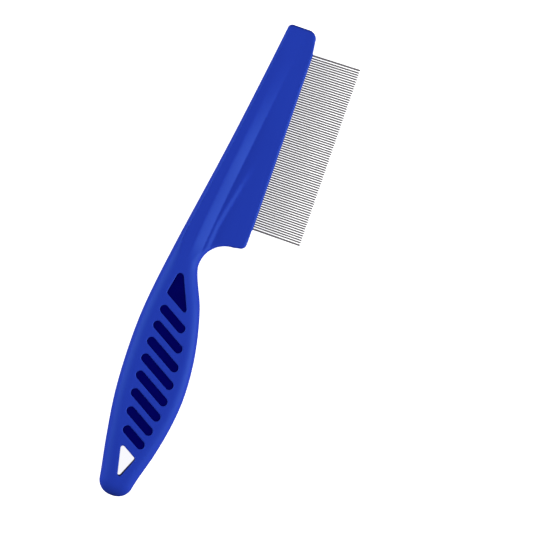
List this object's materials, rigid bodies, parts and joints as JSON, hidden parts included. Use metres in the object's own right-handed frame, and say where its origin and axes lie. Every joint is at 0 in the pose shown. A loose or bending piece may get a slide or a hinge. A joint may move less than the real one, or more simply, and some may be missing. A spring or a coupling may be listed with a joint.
{
  "type": "flea comb",
  "caption": "Pet flea comb with a moulded handle, windowed soft grip core, hanging hole and a fixed row of fine steel tines set in a strip along the head.",
  "frame": {"origin": "under the middle of the comb's outer box, on the plane its back face rests on", "axes": "+X out along the tines, +Y up the comb from the handle's end to the tip, +Z out of the front face"},
  "size_m": [0.0476, 0.185, 0.011],
  "materials": {
    "handle_plastic": "moulded, gloss, royal blue",
    "strip_plastic": "moulded, gloss, royal blue",
    "grip_rubber": "soft moulded elastomer, matt, navy",
    "tine_steel": "drawn and polished stainless wire"
  },
  "bodies": {
    "root": {"handle_body": "handle_plastic", "grip_core": "grip_rubber", "tine_strip": "strip_plastic", "hairpin_01": "tine_steel", "hairpin_02": "tine_steel", "hairpin_03": "tine_steel", "hairpin_04": "tine_steel", "hairpin_05": "tine_steel", "hairpin_06": "tine_steel", "hairpin_07": "tine_steel", "hairpin_08": "tine_steel", "hairpin_09": "tine_steel", "hairpin_10": "tine_steel", "hairpin_11": "tine_steel", "hairpin_12": "tine_steel", "hairpin_13": "tine_steel", "hairpin_14": "tine_steel", "hairpin_15": "tine_steel", "hairpin_16": "tine_steel", "hairpin_17": "tine_steel", "hairpin_18": "tine_steel", "hairpin_19": "tine_steel", "hairpin_20": "tine_steel", "hairpin_21": "tine_steel", "hairpin_22": "tine_steel", "hairpin_23": "tine_steel", "hairpin_24": "tine_steel", "hairpin_25": "tine_steel", "hairpin_26": "tine_steel", "hairpin_27": "tine_steel", "hairpin_28": "tine_steel", "hairpin_29": "tine_steel", "hairpin_30": "tine_steel", "hairpin_31": "tine_steel", "hairpin_32": "tine_steel", "hairpin_33": "tine_steel", "hairpin_34": "tine_steel", "hairpin_35": "tine_steel", "hairpin_36": "tine_steel", "hairpin_37": "tine_steel", "hairpin_38": "tine_steel", "guard_tine_lower": "tine_steel", "guard_tine_upper": "tine_steel"}
  },
  "joints": []
}
